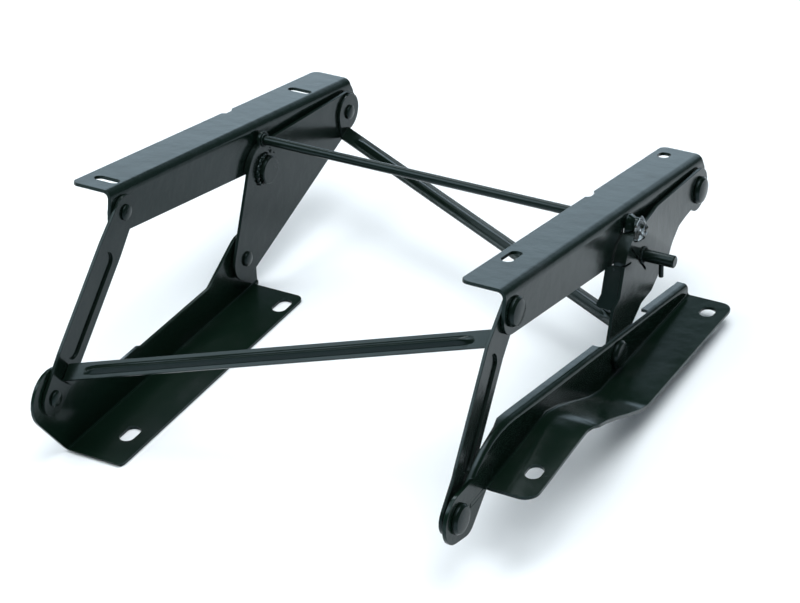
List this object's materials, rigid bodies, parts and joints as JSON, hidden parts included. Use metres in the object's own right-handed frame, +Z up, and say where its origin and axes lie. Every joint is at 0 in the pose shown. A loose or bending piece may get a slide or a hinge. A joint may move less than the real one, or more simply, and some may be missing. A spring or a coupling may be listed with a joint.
{
  "type": "seat riser linkage",
  "caption": "Pressed-steel seat riser: floor rails and sloping seat rails joined by swinging front and rear links, diagonal braces, a cross rod and a latch pin.",
  "frame": {"origin": "on the underside of the left floor flange, midway between its two bolt slots", "axes": "+Z up, +Y to the rear of the vehicle, +X to its right"},
  "size_m": [0.3838, 0.4424, 0.1667],
  "materials": {
    "seat_rail_paint": "gloss black",
    "floor_rail_paint": "gloss black",
    "link_paint": "gloss black",
    "brace_paint": "gloss black",
    "fastener_paint": "gloss black"
  },
  "bodies": {
    "floor_rails": {"floor_rail_left": "floor_rail_paint", "floor_rail_right": "floor_rail_paint", "front_lower_rivet_left": "fastener_paint", "front_lower_rivet_right": "fastener_paint", "rear_lower_rivet_left": "fastener_paint", "rear_lower_rivet_right": "fastener_paint", "front_lower_washer_right": "fastener_paint", "rear_lower_washer_left": "fastener_paint"},
    "front_links": {"front_link_left": "link_paint", "front_link_right": "link_paint", "front_brace": "brace_paint", "front_upper_rivet_left": "fastener_paint", "front_upper_rivet_right": "fastener_paint"},
    "rear_links": {"rear_link_left": "link_paint", "rear_link_right": "link_paint", "rear_brace": "brace_paint", "cross_rod": "brace_paint", "rod_weld_left": "fastener_paint", "rod_weld_right": "fastener_paint", "latch_boss_left": "fastener_paint", "latch_pin_right": "fastener_paint", "pin_weld": "fastener_paint", "cross_peg": "fastener_paint", "rear_upper_rivet_left": "fastener_paint", "rear_upper_rivet_right": "fastener_paint", "rear_upper_washer_left": "fastener_paint", "rear_upper_bush_right": "fastener_paint"},
    "seat_rails": {"seat_rail_left": "seat_rail_paint", "seat_rail_right": "seat_rail_paint"}
  },
  "joints": [
    {"name": "rear_links_swing", "type": "hinge", "parent": "floor_rails", "child": "rear_links", "pos_m": [0, 0.1005, 0.034], "axis": [1, 0, 0], "range_deg": [0, 40]},
    {"name": "front_links_swing", "type": "hinge", "parent": "floor_rails", "child": "front_links", "pos_m": [0, -0.142, 0.051], "axis": [1, 0, 0], "range_deg": [0, 36]},
    {"name": "seat_rails_tilt", "type": "hinge", "parent": "rear_links", "child": "seat_rails", "pos_m": [0, 0.25785, 0.08687], "axis": [1, 0, 0], "range_deg": [-31, 0]}
  ],
  "couplings": [
    {"joint": "front_links_swing", "follows": "rear_links_swing", "ratio": 0.8889},
    {"joint": "seat_rails_tilt", "follows": "rear_links_swing", "ratio": -0.7693}
  ]
}
